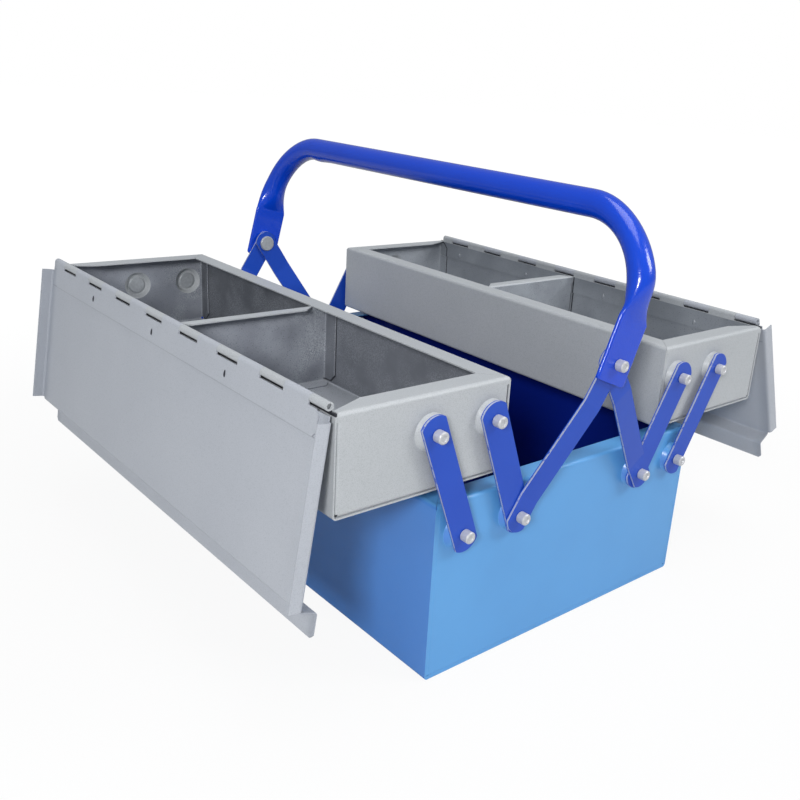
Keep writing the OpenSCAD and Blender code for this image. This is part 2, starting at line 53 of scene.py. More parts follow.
CAMERA_EYE = Vector((565.28, -456.58, 366.94)) * MM
CAMERA_AZIMUTH = 2.38781
CAMERA_ELEVATION = -0.34100
CAMERA_ROLL = -0.07782
CAMERA_FOCAL_PX = 913.17
CAMERA_CENTRE_PX = (462.28, 400.05)
FRAME_PX = 800
SENSOR_MM = 36


def make_camera():
    data = bpy.data.cameras.new("camera")
    data.sensor_width = SENSOR_MM
    data.lens = CAMERA_FOCAL_PX / FRAME_PX * SENSOR_MM
    data.shift_x = (FRAME_PX / 2 - CAMERA_CENTRE_PX[0]) / FRAME_PX
    data.shift_y = (CAMERA_CENTRE_PX[1] - FRAME_PX / 2) / FRAME_PX
    data.clip_start = 0.05
    data.clip_end = 30
    forward = Vector((math.cos(CAMERA_ELEVATION) * math.cos(CAMERA_AZIMUTH),
                      math.cos(CAMERA_ELEVATION) * math.sin(CAMERA_AZIMUTH),
                      math.sin(CAMERA_ELEVATION)))
    right = forward.cross(Vector((0, 0, 1))).normalized()
    down = forward.cross(right)
    c, s = math.cos(CAMERA_ROLL), math.sin(CAMERA_ROLL)
    right, down = c * right + s * down, c * down - s * right
    camera = bpy.data.objects.new("camera", data)
    turn = Matrix((right, -down, -forward)).transposed().to_4x4()
    camera.matrix_world = Matrix.Translation(CAMERA_EYE) @ turn
    bpy.context.scene.collection.objects.link(camera)
    bpy.context.scene.camera = camera


make_camera()
bpy.context.scene.view_settings.view_transform = "Standard"


# Node helpers

def srgb(r, g, b):
    """A colour written in 0 to 255, as a linear RGBA value."""
    def linear(c):
        c /= 255
        return c / 12.92 if c <= 0.04045 else ((c + 0.055) / 1.055) ** 2.4
    return (linear(r), linear(g), linear(b), 1)


class Nodes:
    """A short way to build one material's node tree."""

    def __init__(self, name):
        self.material = bpy.data.materials.new(name)
        self.material.use_nodes = True
        self.tree = self.material.node_tree
        self.shader = self.tree.nodes["Principled BSDF"]
        self.place = self.add("ShaderNodeTexCoord").outputs["Object"]

    def add(self, kind, **settings):
        node = self.tree.nodes.new(kind)
        for key, value in settings.items():
            setattr(node, key, value)
        return node

    def put(self, value, socket):
        if isinstance(value, bpy.types.NodeSocket):
            self.tree.links.new(value, socket)
        else:
            socket.default_value = value

    def math(self, operation, a, b=0.0):
        node = self.add("ShaderNodeMath", operation=operation)
        self.put(a, node.inputs[0])
        self.put(b, node.inputs[1])
        return node.outputs[0]

    def ramp(self, value, low, high, out_low=0.0, out_high=1.0, kind="SMOOTHSTEP"):
        node = self.add("ShaderNodeMapRange", interpolation_type=kind)
        self.put(value, node.inputs["Value"])
        self.put(low, node.inputs["From Min"])
        self.put(high, node.inputs["From Max"])
        self.put(out_low, node.inputs["To Min"])
        self.put(out_high, node.inputs["To Max"])
        return node.outputs[0]

    def noise(self, size_mm, detail=2.0, roughness=0.5, stretch=(1, 1, 1), seed=0.0):
        mapping = self.add("ShaderNodeMapping")
        self.put(self.place, mapping.inputs["Vector"])
        mapping.inputs["Scale"].default_value = [1 / (size_mm * MM * k) for k in stretch]
        mapping.inputs["Location"].default_value = (seed, seed * 2, seed * 3)
        node = self.add("ShaderNodeTexNoise")
        self.put(mapping.outputs[0], node.inputs["Vector"])
        node.inputs["Scale"].default_value = 1
        node.inputs["Detail"].default_value = detail
        node.inputs["Roughness"].default_value = roughness
        return node.outputs["Fac"]

    def mix(self, share, a, b):
        node = self.add("ShaderNodeMix", data_type="RGBA")
        self.put(share, node.inputs["Factor"])
        self.put(a, node.inputs["A"])
        self.put(b, node.inputs["B"])
        return node.outputs["Result"]

    def bump(self, height, depth_mm, under=None):
        node = self.add("ShaderNodeBump")
        node.inputs["Strength"].default_value = 1
        node.inputs["Distance"].default_value = depth_mm * MM
        self.put(height, node.inputs["Height"])
        if under is not None:
            self.put(under, node.inputs["Normal"])
        return node.outputs["Normal"]

    def axis(self, name):
        node = self.add("ShaderNodeSeparateXYZ")
        self.put(self.place, node.inputs[0])
        return node.outputs["xyz".index(name)]

    def facing(self):
        """The three parts of the surface's direction in the row frame."""
        node = self.add("ShaderNodeSeparateXYZ")
        self.put(self.add("ShaderNodeTexCoord").outputs["Normal"], node.inputs[0])
        return node.outputs

    def all_of(self, first, *rest):
        """The product of the values."""
        for value in rest:
            first = self.math("MULTIPLY", first, value)
        return first

    def most_of(self, first, *rest):
        """The greatest of the values."""
        for value in rest:
            first = self.math("MAXIMUM", first, value)
        return first

    def band(self, value, low, high):
        """1 where the value lies between low and high, and 0 elsewhere."""
        return self.all_of(self.math("GREATER_THAN", value, low), self.math("LESS_THAN", value, high))

    def in_tray(self, side):
        """The place in the tray's own frame, in metres."""
        y, z = TRAY_PLACE[side]
        return (self.math("MULTIPLY", self.axis("x"), turned(side)),
                self.math("SUBTRACT", self.math("MULTIPLY", self.axis("y"), turned(side)), y * MM),
                self.math("SUBTRACT", self.axis("z"), z * MM))

    def inside(self, low, high):
        """1 within the box from low to high, in the row frame, and 0 outside it."""
        centre = [(a + b) / 2 for a, b in zip(low, high)]
        half = [(b - a) / 2 for a, b in zip(low, high)]
        offset = self.add("ShaderNodeVectorMath", operation="SUBTRACT")
        self.put(self.place, offset.inputs[0])
        offset.inputs[1].default_value = centre
        size = self.add("ShaderNodeVectorMath", operation="ABSOLUTE")
        self.put(offset.outputs[0], size.inputs[0])
        past = self.add("ShaderNodeVectorMath", operation="SUBTRACT")
        self.put(size.outputs[0], past.inputs[0])
        past.inputs[1].default_value = half
        axes = self.add("ShaderNodeSeparateXYZ")
        self.put(past.outputs[0], axes.inputs[0])
        return self.math("LESS_THAN", self.most_of(*axes.outputs), 0.0)

    def finish(self, colour, roughness, normal=None, metallic=0.0, coat=0.0, coat_roughness=0.1,
               specular=0.5):
        s = self.shader.inputs
        self.put(colour, s["Base Color"])
        self.put(roughness, s["Roughness"])
        self.put(metallic, s["Metallic"])
        s["Coat Weight"].default_value = coat
        s["Coat Roughness"].default_value = coat_roughness
        s["Specular IOR Level"].default_value = specular
        if normal is not None:
            self.put(normal, s["Normal"])
        return self.material


# Where the trays' own frames lie, how far the lids lean out, and where the hinge is in a tray's frame.
# The left tray and lid are the right ones turned half round.

TRAY_PLACE = {"left": (74.421, 135.418), "right": (83.856, 131.038)}
LID_HANG = {"left": math.radians(8.5), "right": math.radians(23.5)}
HINGE_Y = 128.65
HINGE_Z = 65


def turned(side):
    """The sign of X and Y in the side's own frame."""
    return 1 if side == "right" else -1


# Materials

def base_paint():
    """Glossy light blue enamel outside, with painted shade on the faces towards -Y, and deep royal blue inside.
    """
    n = Nodes("base_blue_enamel")
    low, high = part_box("base_pan")
    in_width, in_length = Vector((-1, 1, 1)) * SKIN, Vector((1, -1, 1)) * SKIN
    inner = n.all_of(n.inside(low + in_width, high - in_width), n.inside(low + in_length, high - in_length))
    cloud = n.noise(60, 3, seed=3)
    outer = n.mix(cloud, srgb(84, 148, 206), srgb(91, 159, 217))
    # Painted shade: faces towards -Y are darker
    minus_y_shade = n.ramp(n.facing()[1], -0.5, -0.9)
    outer = n.mix(minus_y_shade, outer, n.mix(cloud, srgb(71, 125, 198), srgb(77, 135, 208)))
    colour = n.mix(inner, outer, srgb(6, 32, 130))
    peel = n.noise(1.6, 2)
    normal = n.bump(peel, 0.012, n.bump(n.noise(70, 1, seed=7), 0.5))
    return n.finish(colour, n.ramp(peel, 0.3, 0.7, 0.30, 0.38), normal, coat=0.15, coat_roughness=0.15)


# Side flanges of the end panels and dividers: the corners they lose, their foot, and the tip and head
FLANGE_CUT = 5
FLANGE_FOOT = 3.5
END_FLANGE = (189, 59.5)
DIVIDER_FLANGE = (15, 60.85)
DIVIDER_FACE = 2
# Width of the painted shadow lines round the flanges' edges
FLANGE_SHADOW_W = 1.3
DIAGONAL = 0.707


def flange_shadow_lines(n, x, z):
    """Painted shadow: dark lines on a tray's wall round the edges of the side flanges that lie against it."""
    def past_edge(inward, tip, head):
        """How far the place lies past the flange's outline."""
        beyond = n.math("SUBTRACT", tip * MM, inward)
        above = n.math("SUBTRACT", z, (head - FLANGE_CUT) * MM)
        below = n.math("SUBTRACT", (FLANGE_FOOT + FLANGE_CUT) * MM, z)
        return n.most_of(beyond, n.math("SUBTRACT", z, head * MM), n.math("SUBTRACT", FLANGE_FOOT * MM, z),
                         n.math("MULTIPLY", n.math("ADD", above, beyond), DIAGONAL),
                         n.math("MULTIPLY", n.math("ADD", below, beyond), DIAGONAL))
    ends = past_edge(n.math("ABSOLUTE", x), *END_FLANGE)
    # The divider's flange lies on the side of its plate towards -X
    divider = n.most_of(past_edge(n.math("ADD", x, 2 * DIVIDER_FLANGE[0] * MM), *DIVIDER_FLANGE),
                        n.math("ADD", x, DIVIDER_FACE * MM))
    return n.math("MAXIMUM", n.band(ends, 0.0, FLANGE_SHADOW_W * MM), n.band(divider, 0.0, FLANGE_SHADOW_W * MM))


# Tray interiors, from the thinnest to the thickest paint, a little darker in the left tray as painted shade
THIN = {"left": ((127, 131, 140), (150, 154, 163)), "right": ((134, 139, 146), (156, 161, 168))}
# Their long walls inside, in painted shade: how far they take the darker tone of the far and the near compartment
LONG_WALL_SHADE = {"left": (0.75, (52, 55, 60), (87, 90, 97)), "right": (0.5, (112, 117, 123), (112, 117, 123))}
COMPARTMENT_BLEND = 3
# How far from the inner wall the light specks thin out, and where they are thickest
SPECK_REACH = (50, 4)
# Painted shadow: dark top of the outer wall, seen through the slots beside the hinge's knuckles
SLOT_SHADE_Y = (126.9, 129)
SLOT_SHADE_Z = (60.3, 62.45)


def tray_paint(side):
    """Light grey hammered enamel with fine dark specks. Inside a tray it is thin and dark, with light specks that
    thicken towards the inner wall, painted shade on the long walls, round the side flanges and in the hinge
    slots, and painted light on the floor."""
    n = Nodes(f"{side}_tray_grey_enamel")
    low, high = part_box(f"{side}_tray_pan")
    inner = n.inside(low + Vector((1, 1, 1)) * SKIN, high - Vector((1, 1, 1)) * SKIN)
    inner_wall = high.y if side == "left" else low.y
    depth = n.math("ABSOLUTE", n.math("SUBTRACT", n.axis("y"), inner_wall))
    facing = n.facing()
    floor = n.ramp(facing[2], 0.6, 0.8)
    wall = n.ramp(n.math("ABSOLUTE", facing[1]), 0.6, 0.8)

    speck = n.noise(0.9, 3, 0.6, seed=2)
    cloud = n.noise(45, 3, seed=5)
    grain = n.noise(0.55, 2, 0.7, seed=15)
    outer = n.mix(cloud, srgb(170, 174, 177), srgb(182, 185, 188))
    outer = n.mix(n.ramp(grain, 0.52, 0.36, 0, 0.35), outer, srgb(128, 132, 135))

    thin = n.mix(n.ramp(n.noise(38, 3, seed=8), 0.35, 0.65), srgb(*THIN[side][0]), srgb(*THIN[side][1]))
    # Painted shade: the long walls inside are darker, in the left tray most in its far compartment
    share, far, near = LONG_WALL_SHADE[side]
    end = n.ramp(n.axis("x"), -COMPARTMENT_BLEND * MM, COMPARTMENT_BLEND * MM)
    dark = n.mix(end, srgb(*far), srgb(*near))
    thin = n.mix(n.math("MULTIPLY", wall, share), thin, dark)
    # Painted light: the floor, which faces up, is lighter
    thin = n.mix(n.math("MULTIPLY", floor, 0.8), thin, srgb(193, 197, 204))
    near_wall = n.ramp(depth, SPECK_REACH[0] * MM, SPECK_REACH[1] * MM, 0.12, 1.0)
    spread = n.all_of(near_wall, n.ramp(n.noise(24, 3, seed=11), 0.35, 0.6), n.ramp(wall, 0.0, 1.0, 1.0, 0.25))
    light_speck = n.ramp(n.noise(0.9, 4, 0.65, seed=13), 0.44, 0.60)
    thin = n.mix(n.math("MULTIPLY", spread, light_speck), thin, srgb(182, 187, 193))
    thin = n.mix(n.ramp(speck, 0.40, 0.32), thin, srgb(100, 104, 110))

    x, y, z = n.in_tray(side)
    # Painted shadow: dark lines on the wall round the side flanges' edges
    thin = n.mix(n.all_of(flange_shadow_lines(n, x, z), wall), thin, srgb(40, 42, 47))
    colour = n.mix(inner, outer, thin)
    # Painted shadow in the hinge slots: the outer wall's top is dark
    slot = n.all_of(n.band(y, *(v * MM for v in SLOT_SHADE_Y)), n.band(z, *(v * MM for v in SLOT_SHADE_Z)))
    colour = n.mix(slot, colour, srgb(38, 38, 44))
    normal = n.bump(n.noise(1.3, 2, seed=4), 0.03, n.bump(n.noise(80, 1, seed=9), 0.6))
    return n.finish(colour, n.ramp(speck, 0.3, 0.7, 0.42, 0.52), normal, coat=0.12, coat_roughness=0.3)


# Lids: where the hinge leaf ends below the wire and beside the flanges, how the painted shadow below its edge
# fades, and where the painted shade beside the end folds lies
LEAF_EDGE = 19
LEAF_HALF_L = 198.5
LEAF_SHADOW_FADE = (0.5, 1.2)
FOLD_SHADE_FROM = (188, 199)
FOLD_SHADE_TO = (201, 200)


def lid_paint(side):
    """Plain grey enamel with a fine grain, with painted shade in the folds beside the end flanges and a painted
    shadow line along the hinge leaf's edge."""
    n = Nodes(f"{side}_lid_grey_enamel")
    speck = n.noise(0.8, 3, 0.6, seed=1)
    cloud = n.noise(70, 2, seed=6)
    colour = n.mix(cloud, srgb(168, 172, 180), srgb(179, 183, 190))
    colour = n.mix(n.ramp(n.noise(0.6, 2, 0.7, seed=15), 0.5, 0.36, 0, 0.3), colour, srgb(132, 136, 144))
    along = n.math("ABSOLUTE", n.axis("x"))
    # Painted shade in the folds beside the end flanges
    fold = n.all_of(*(n.ramp(along, a * MM, b * MM) for a, b in (FOLD_SHADE_FROM, FOLD_SHADE_TO)))
    colour = n.mix(n.math("MULTIPLY", fold, 0.4), colour, srgb(118, 124, 136))
    # Painted shadow: a dark line on the lid just below the hinge leaf's edge
    y, z = n.in_tray(side)[1:]
    y, z = n.math("SUBTRACT", y, HINGE_Y * MM), n.math("SUBTRACT", z, HINGE_Z * MM)
    c, s = math.cos(LID_HANG[side]), math.sin(LID_HANG[side])
    drop = n.math("SUBTRACT", n.math("MULTIPLY", y, s), n.math("MULTIPLY", z, c))
    off = n.math("ADD", n.math("MULTIPLY", y, c), n.math("MULTIPLY", z, s))
    line = n.all_of(n.math("GREATER_THAN", drop, LEAF_EDGE * MM), n.math("GREATER_THAN", off, 0.0),
                    n.math("LESS_THAN", along, LEAF_HALF_L * MM),
                    n.ramp(drop, *((LEAF_EDGE + v) * MM for v in LEAF_SHADOW_FADE), 0.45, 0.0))
    colour = n.mix(line, colour, srgb(96, 99, 106))
    normal = n.bump(n.noise(1.2, 2, seed=4), 0.02, n.bump(n.noise(110, 1, seed=9), 0.7))
    return n.finish(colour, n.ramp(speck, 0.3, 0.7, 0.44, 0.52), normal, coat=0.1, coat_roughness=0.35)


# Flat strips: how far out their outer faces lie, at a link's lower and upper bend too, and how much of
# a sheared edge shows bare steel

ARM_OUT = 206.15
LINK_OUT_LOW = 208.3
LINK_OUT_TOP = {"right": 216.8, "left": 218.95}
LINK_BENDS = (13, 84.4)
LINK_LEAN = math.radians(32.8)
LINK_PIVOT = (62.5, 102.5)
BARE_T = 1.3


def strip_paint(kind, side=None):
    """Royal blue enamel on flat strips, with a thin line of bare steel along the sheared edges."""
    n = Nodes(f"strip_blue_enamel_{side or kind}")
    level = (ARM_OUT - BARE_T) * MM
    if side:
        up = n.math("MULTIPLY", n.math("SUBTRACT", n.axis("z"), LINK_PIVOT[1] * MM), math.cos(LINK_LEAN))
        across = n.math("SUBTRACT", n.math("MULTIPLY", n.axis("y"), turned(side)), LINK_PIVOT[0] * MM)
        along = n.math("SUBTRACT", up, n.math("MULTIPLY", across, math.sin(LINK_LEAN)))
        low, top = (LINK_OUT_LOW - BARE_T) * MM, (LINK_OUT_TOP[side] - BARE_T) * MM
        level = n.ramp(along, LINK_BENDS[0] * MM, LINK_BENDS[1] * MM, low, top, "LINEAR")
    edge = n.ramp(n.math("ABSOLUTE", n.facing()[0]), 0.6, 0.3)
    outer = n.math("GREATER_THAN", n.math("ABSOLUTE", n.axis("x")), level)
    worn = n.ramp(n.noise(4, 4, 0.65, seed=12), 0.36, 0.46, 0.12, 1)
    bare = n.all_of(edge, outer, worn)
    paint = n.mix(n.noise(40, 3, seed=3), srgb(22, 66, 172), srgb(30, 76, 184))
    colour = n.mix(bare, paint, srgb(168, 175, 198))
    normal = n.bump(n.noise(1.8, 2), 0.015, n.bump(n.noise(30, 1, seed=7), 0.15))
    return n.finish(colour, n.ramp(bare, 0, 1, 0.34, 0.42), normal, metallic=n.math("MULTIPLY", bare, 0.2),
                    coat=0.1, coat_roughness=0.2, specular=0.35)


def handle_paint():
    """Glossy royal blue enamel on the handle's tube, with an orange-peel surface."""
    n = Nodes("handle_blue_enamel")
    colour = n.mix(n.noise(50, 3, seed=3), srgb(5, 60, 190), srgb(9, 68, 200))
    peel = n.noise(2.6, 3, 0.6)
    normal = n.bump(peel, 0.16, n.bump(n.noise(16, 2, seed=7), 0.12))
    return n.finish(colour, n.ramp(peel, 0.3, 0.7, 0.16, 0.24), normal, coat=0.35, coat_roughness=0.06,
                    specular=0.4)


# How far from the middle the thin grey coat of the rivets' heads reaches
RIVET_COAT_X = 204
HANDLE_RIVET_COAT_X = 216


def rivet_metal(name, coat_x):
    """Dull bright plated steel with turning marks, under a thin grey coat as far out as coat_x."""
    n = Nodes(name)
    streak = n.noise(1.2, 4, 0.7, stretch=(0.25, 1, 1), seed=3)
    colour = n.mix(streak, srgb(166, 167, 170), srgb(214, 215, 218))
    coated = n.math("LESS_THAN", n.math("ABSOLUTE", n.axis("x")), coat_x * MM)
    coat = n.mix(n.noise(2, 3, seed=6), srgb(140, 144, 148), srgb(182, 186, 190))
    colour = n.mix(coated, colour, coat)
    metallic = n.ramp(coated, 0, 1, 0.3, 0.15)
    return n.finish(colour, n.ramp(streak, 0.3, 0.7, 0.30, 0.46), n.bump(streak, 0.04), metallic=metallic)


def wire_metal():
    """Plain drawn wire."""
    n = Nodes("wire_steel")
    streak = n.noise(2, 4, 0.7, stretch=(8, 1, 1), seed=3)
    colour = n.mix(streak, srgb(120, 122, 126), srgb(180, 182, 186))
    return n.finish(colour, n.ramp(streak, 0.3, 0.7, 0.3, 0.5), n.bump(streak, 0.01), metallic=0.9)


def slit_shadow():
    """Shadowed edge of a lanced stake."""
    n = Nodes("stake_slit")
    return n.finish(n.mix(n.noise(1, 2), srgb(34, 35, 42), srgb(60, 62, 70)), 0.7)


BASE_PAINT = base_paint()
ARM_PAINT = strip_paint("arm")
LINK_PAINT = {side: strip_paint("link", side) for side in SIDES}
HANDLE_PAINT = handle_paint()
WIRE_METAL = wire_metal()
SLIT_SHADOW = slit_shadow()
RIVET_METAL = rivet_metal("rivet_steel", RIVET_COAT_X)
HANDLE_RIVET_METAL = rivet_metal("handle_rivet_steel", HANDLE_RIVET_COAT_X)
TRAY_PAINT = {side: tray_paint(side) for side in SIDES}
LID_PAINT = {side: lid_paint(side) for side in SIDES}


def material_of(name):
    side = "left" if name.startswith("left") else "right"
    if name == "handle_rivets":
        return HANDLE_RIVET_METAL
    if "rivets" in name:
        return RIVET_METAL
    if "wire" in name:
        return WIRE_METAL
    if name.startswith("base"):
        return BASE_PAINT
    if "arm" in name:
        return ARM_PAINT
    if "link" in name:
        return LINK_PAINT[side]
    if "lid" in name:
        return LID_PAINT[side]
    if name == "handle":
        return HANDLE_PAINT
    return TRAY_PAINT[side]


for name, node in nodes.items():
    for slot in node.material_slots:
        slot.material = material_of(name)


def new_piece(name, mesh, body, slot, *materials):
    """A piece of the scene's own, riding on a body. materials are its mesh's slots in order."""
    for material in materials:
        mesh.materials.append(material)
    piece = bpy.data.objects.new(name, mesh)
    bpy.context.scene.collection.objects.link(piece)
    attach(piece, body)
    return piece


# Handle: one tube with two bends, flattened into a lug at each end. It is drawn upright about its
# pivots, with u across its wall away from the middle of the handle and v across the box.

PIVOT_Z = 199.5
GRIP_RISE = 96.5
LEAN = math.radians(14)
NEAR_SKEW = math.radians(8)
TUBE_R = 9.49
BEND_R = 58
TUBE_MID_X = 223.8
LUG_MID_X = 220.6
LUG_HALF_T = 1.5
LUG_HALF_W = 15.5
LUG_FOOT = 13
LUG_CORNER_R = 2.5
CREASE_Z = 32
# Heights between which the outer face eases from lug to tube; the inner face does so from its crease,
# over a length and with a power
OUTER_EASE = (24, 62)
INNER_EASE = (15, 1.7)
# Length over which the lug narrows to the tube, and how fast it starts to, at the near and the far end
WAIST = {1: (15, 1.8), -1: (32, 1.25)}
WAIST_BELOW_CREASE = 2
# How much the bent tube is pulled in outside and spreads sideways, at the middle of a bend
PULLED_IN = 0.21
SPREAD = 0.04
# Run of paint under the grip: its depth, its place, its half length and how sharply it ends in width
RUN_DEPTH = 0.8
RUN_X = -156
RUN_HALF_L = 9
RUN_POWER = 8
SLIT_HALF_T = 0.3
SLIT_HALF_W = 12.3
SLIT_DEPTH = 5
PIN_HOLE_R = 3.25
HOLE_BAR_PAST = 6
HOLE_SIDES = 48
SHARP_FROM = math.radians(26)
BEND_MID_X = TUBE_MID_X - BEND_R
BEND_MID_Z = GRIP_RISE - BEND_R
FACE_STEPS = 32
ARC_STEPS = 4


def ease(a, b, x):
    """0 below a and 1 above b, with a smooth step between them."""
    t = min(1.0, max(0.0, (x - a) / (b - a)))
    return t * t * (3 - 2 * t)


def rise(start, reach, power, x):
    """0 below start and 1 past its reach, with a sharp start and a soft end."""
    return 1 - (1 - min(1, max(0, (x - start) / reach))) ** power


def lug_section(half_t, half_w):
    """Points (u, v) round a flat bar with round edges, in the same order as tube_section."""
    points = []
    flat = FACE_STEPS - 2 * ARC_STEPS
    for face in (1, -1):
        for k in range(FACE_STEPS):
            if k < ARC_STEPS:
                a = math.pi / 2 * k / ARC_STEPS
                u, v = half_t * math.sin(a), -(half_w - half_t) - half_t * math.cos(a)
            elif k <= FACE_STEPS - ARC_STEPS:
                u, v = half_t, (half_w - half_t) * (2 * (k - ARC_STEPS) / flat - 1)
            else:
                a = math.pi / 2 * (FACE_STEPS - k) / ARC_STEPS
                u, v = half_t * math.sin(a), (half_w - half_t) + half_t * math.cos(a)
            points.append((face * u, face * v))
    return points


def tube_section(flattening=0.0):
    """Points (u, v) round the tube, whose outer wall is pulled in where it is bent."""
    points = []
    for k in range(2 * FACE_STEPS):
        a = math.pi * k / FACE_STEPS
        u, v = TUBE_R * math.sin(a), -TUBE_R * math.cos(a)
        if u > 0:
            u *= 1 - PULLED_IN * flattening
        points.append((u, v * (1 + SPREAD * flattening)))
    return points


def handle_ring(side, turn, z, skew):
    """One ring of points. turn is the angle round the bend from the grip, or 90 degrees below it."""
    out_x, out_z = math.sin(turn), math.cos(turn)
    if turn < math.pi / 2:
        mid_x, mid_z = BEND_MID_X + BEND_R * out_x, BEND_MID_Z + BEND_R * out_z
    else:
        mid_x, mid_z = TUBE_MID_X, z
    low = min(mid_z, BEND_MID_Z + BEND_R)
    tube = tube_section(math.sin(2 * turn) ** 2 if turn < math.pi / 2 else 0)
    foot = LUG_CORNER_R - LUG_FOOT - low
    half_w = LUG_HALF_W
    if foot > 0:
        half_w -= LUG_CORNER_R - math.sqrt(max(0, LUG_CORNER_R ** 2 - foot ** 2))
    lug = lug_section(LUG_HALF_T, half_w)
    outer, inner = ease(*OUTER_EASE, low), rise(CREASE_Z, *INNER_EASE, low)
    edge = rise(CREASE_Z - WAIST_BELOW_CREASE, *WAIST[side], low)
    ring = []
    for k, ((lu, lv), (tu, tv)) in enumerate(zip(lug, tube)):
        facing = 0.5 + 0.5 * math.sin(math.pi * k / FACE_STEPS)
        w = inner + (outer - inner) * facing
        lug_y = lv * math.cos(skew) + low * math.sin(skew)
        lug_z = low * math.cos(skew) - lv * math.sin(skew)
        x = (LUG_MID_X + lu) * (1 - w) + (mid_x + tu * out_x) * w
        y = lug_y * (1 - edge) + tv * edge
        up = lug_z * (1 - edge) + (mid_z + tu * out_z) * edge
        ring.append((side * x, y, up))
    return ring


def grip_ring(x):
    """A ring of the straight grip, with a run of paint under it beside the far bend."""
    run = RUN_DEPTH * math.exp(-((x - RUN_X) / RUN_HALF_L) ** 2)
    return [(x, v, GRIP_RISE + u - run * max(0, -u / TUBE_R) ** RUN_POWER) for u, v in tube_section()]


def lug_end(side, skew):
    """The bottom and the mouth of the slit between the walls, in the lug's foot."""
    rings = []
    for depth in (SLIT_DEPTH, 0):
        z = depth - LUG_FOOT
        rings.append([(side * (LUG_MID_X + u), v * math.cos(skew) + z * math.sin(skew),
                       z * math.cos(skew) - v * math.sin(skew))
                      for u, v in lug_section(SLIT_HALF_T, SLIT_HALF_W)])
    return rings


def handle_half(side, skew):
    """Rings from the slit in one lug's foot up to the end of the grip."""
    feet = [-LUG_FOOT + d for d in (0, 0.35, 0.9, 1.6, 2.5)]
    lug = [-7, 0, 7, 14, 20, 25, 28, 30, 31.2, CREASE_Z - 0.2, CREASE_Z + 0.2, 33, 34.5, 36, 37.5]
    turns = [90 - d for d in (1, 2.5, 4, 6, 8, 10, 12, 15, 18)] + list(range(68, 0, -4)) + [0]
    return (lug_end(side, skew) + [handle_ring(side, math.pi / 2, z, skew) for z in feet + lug]
            + [handle_ring(side, math.radians(turn), 0, skew) for turn in turns])


def loft(rings):
    """A closed mesh over rings of equal length, with a flat face on the first and the last ring."""
    shape = bmesh.new()
    rows = [[shape.verts.new(Vector(p) * MM) for p in ring] for ring in rings]
    for low, high in zip(rows, rows[1:]):
        for k in range(len(low)):
            j = (k + 1) % len(low)
            shape.faces.new((low[k], low[j], high[j], high[k]))
    shape.faces.new(rows[0])
    shape.faces.new(rows[-1])
    bmesh.ops.recalc_face_normals(shape, faces=shape.faces)
    return shape


def round_bar(points_x, r):
    """A bar along X through the pivots."""
    turns = [math.tau * k / HOLE_SIDES for k in range(HOLE_SIDES)]
    return loft([[(x, r * math.cos(t), r * math.sin(t)) for t in turns] for x in points_x])


def without(mesh, cutter):
    """The mesh with the cutter's solid taken out of it."""
    scene = bpy.context.scene.collection
    body, tool = bpy.data.objects.new("body", mesh), bpy.data.objects.new("tool", cutter)
    scene.objects.link(body)
    scene.objects.link(tool)
    cut = body.modifiers.new("cut", "BOOLEAN")
    cut.object = tool
    cut.operation = "DIFFERENCE"
    cut.solver = "EXACT"
    bpy.context.view_layer.update()
    depsgraph = bpy.context.evaluated_depsgraph_get()
    result = bpy.data.meshes.new_from_object(body.evaluated_get(depsgraph))
    bpy.data.objects.remove(body)
    bpy.data.objects.remove(tool)
    return result


def to_mesh(name, shape):
    mesh = bpy.data.meshes.new(name)
    shape.to_mesh(mesh)
    shape.free()
    return mesh


def make_handle():
    # Rings lie closer together at the run of paint beside the far bend
    plain = [BEND_MID_X - 12 * k for k in range(1, 25)]
    run = [-BEND_MID_X + d for d in [36, 28, 22] + [2.5 * k for k in range(7, 0, -1)]]
    grip = [grip_ring(x) for x in plain + run]
    mesh = to_mesh("handle_tube", loft(handle_half(1, NEAR_SKEW) + grip + handle_half(-1, 0)[::-1]))
    # The bar for the holes also runs through the open space between the lugs, which it doesn't touch
    reach = LUG_MID_X + HOLE_BAR_PAST
    hole = to_mesh("pin_holes", round_bar((-reach, reach), PIN_HOLE_R))
    mesh = without(mesh, hole)
    mesh.transform(Matrix.Translation(Vector((0, 0, PIVOT_Z)) * MM) @ Matrix.Rotation(-LEAN, 4, "X"))
    mesh.shade_smooth()
    mesh.set_sharp_from_angle(angle=SHARP_FROM)
    piece = new_piece("handle_tube", mesh, "handle", "frame_blue", HANDLE_PAINT)
    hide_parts("handle")


make_handle()


# Paint that fills the grooves round the base's end panels, between a sheet and a panel's rounded fold

HALF_L = 200
BASE_HALF_W = 128
BASE_H = 124
SHEET_T = 1
FOLD_R = 2.5
FILL_INSET = 0.06
# Gaps between a bead and the fold, the sheet, and the sheets at its ends
FILL_PAST_FOLD = 0.03
FILL_OFF_SHEET = 0.02
FILL_END = 0.05
FILL_Z = (SHEET_T + 2, BASE_H - 3)
FILL_STEPS = 8


def fill_section():
    """Points (in, off): how far in from the end, and how far off the sheet."""
    reach = FOLD_R + FILL_PAST_FOLD
    start = math.acos((FOLD_R - FILL_INSET) / reach)
    turns = [start + (math.pi / 2 - 2 * start) * k / FILL_STEPS for k in range(FILL_STEPS + 1)]
    curve = [(FOLD_R - reach * math.cos(t), FOLD_R - reach * math.sin(t)) for t in turns]
    return [(FILL_INSET, FILL_OFF_SHEET)] + curve + [(curve[-1][0], FILL_OFF_SHEET)]


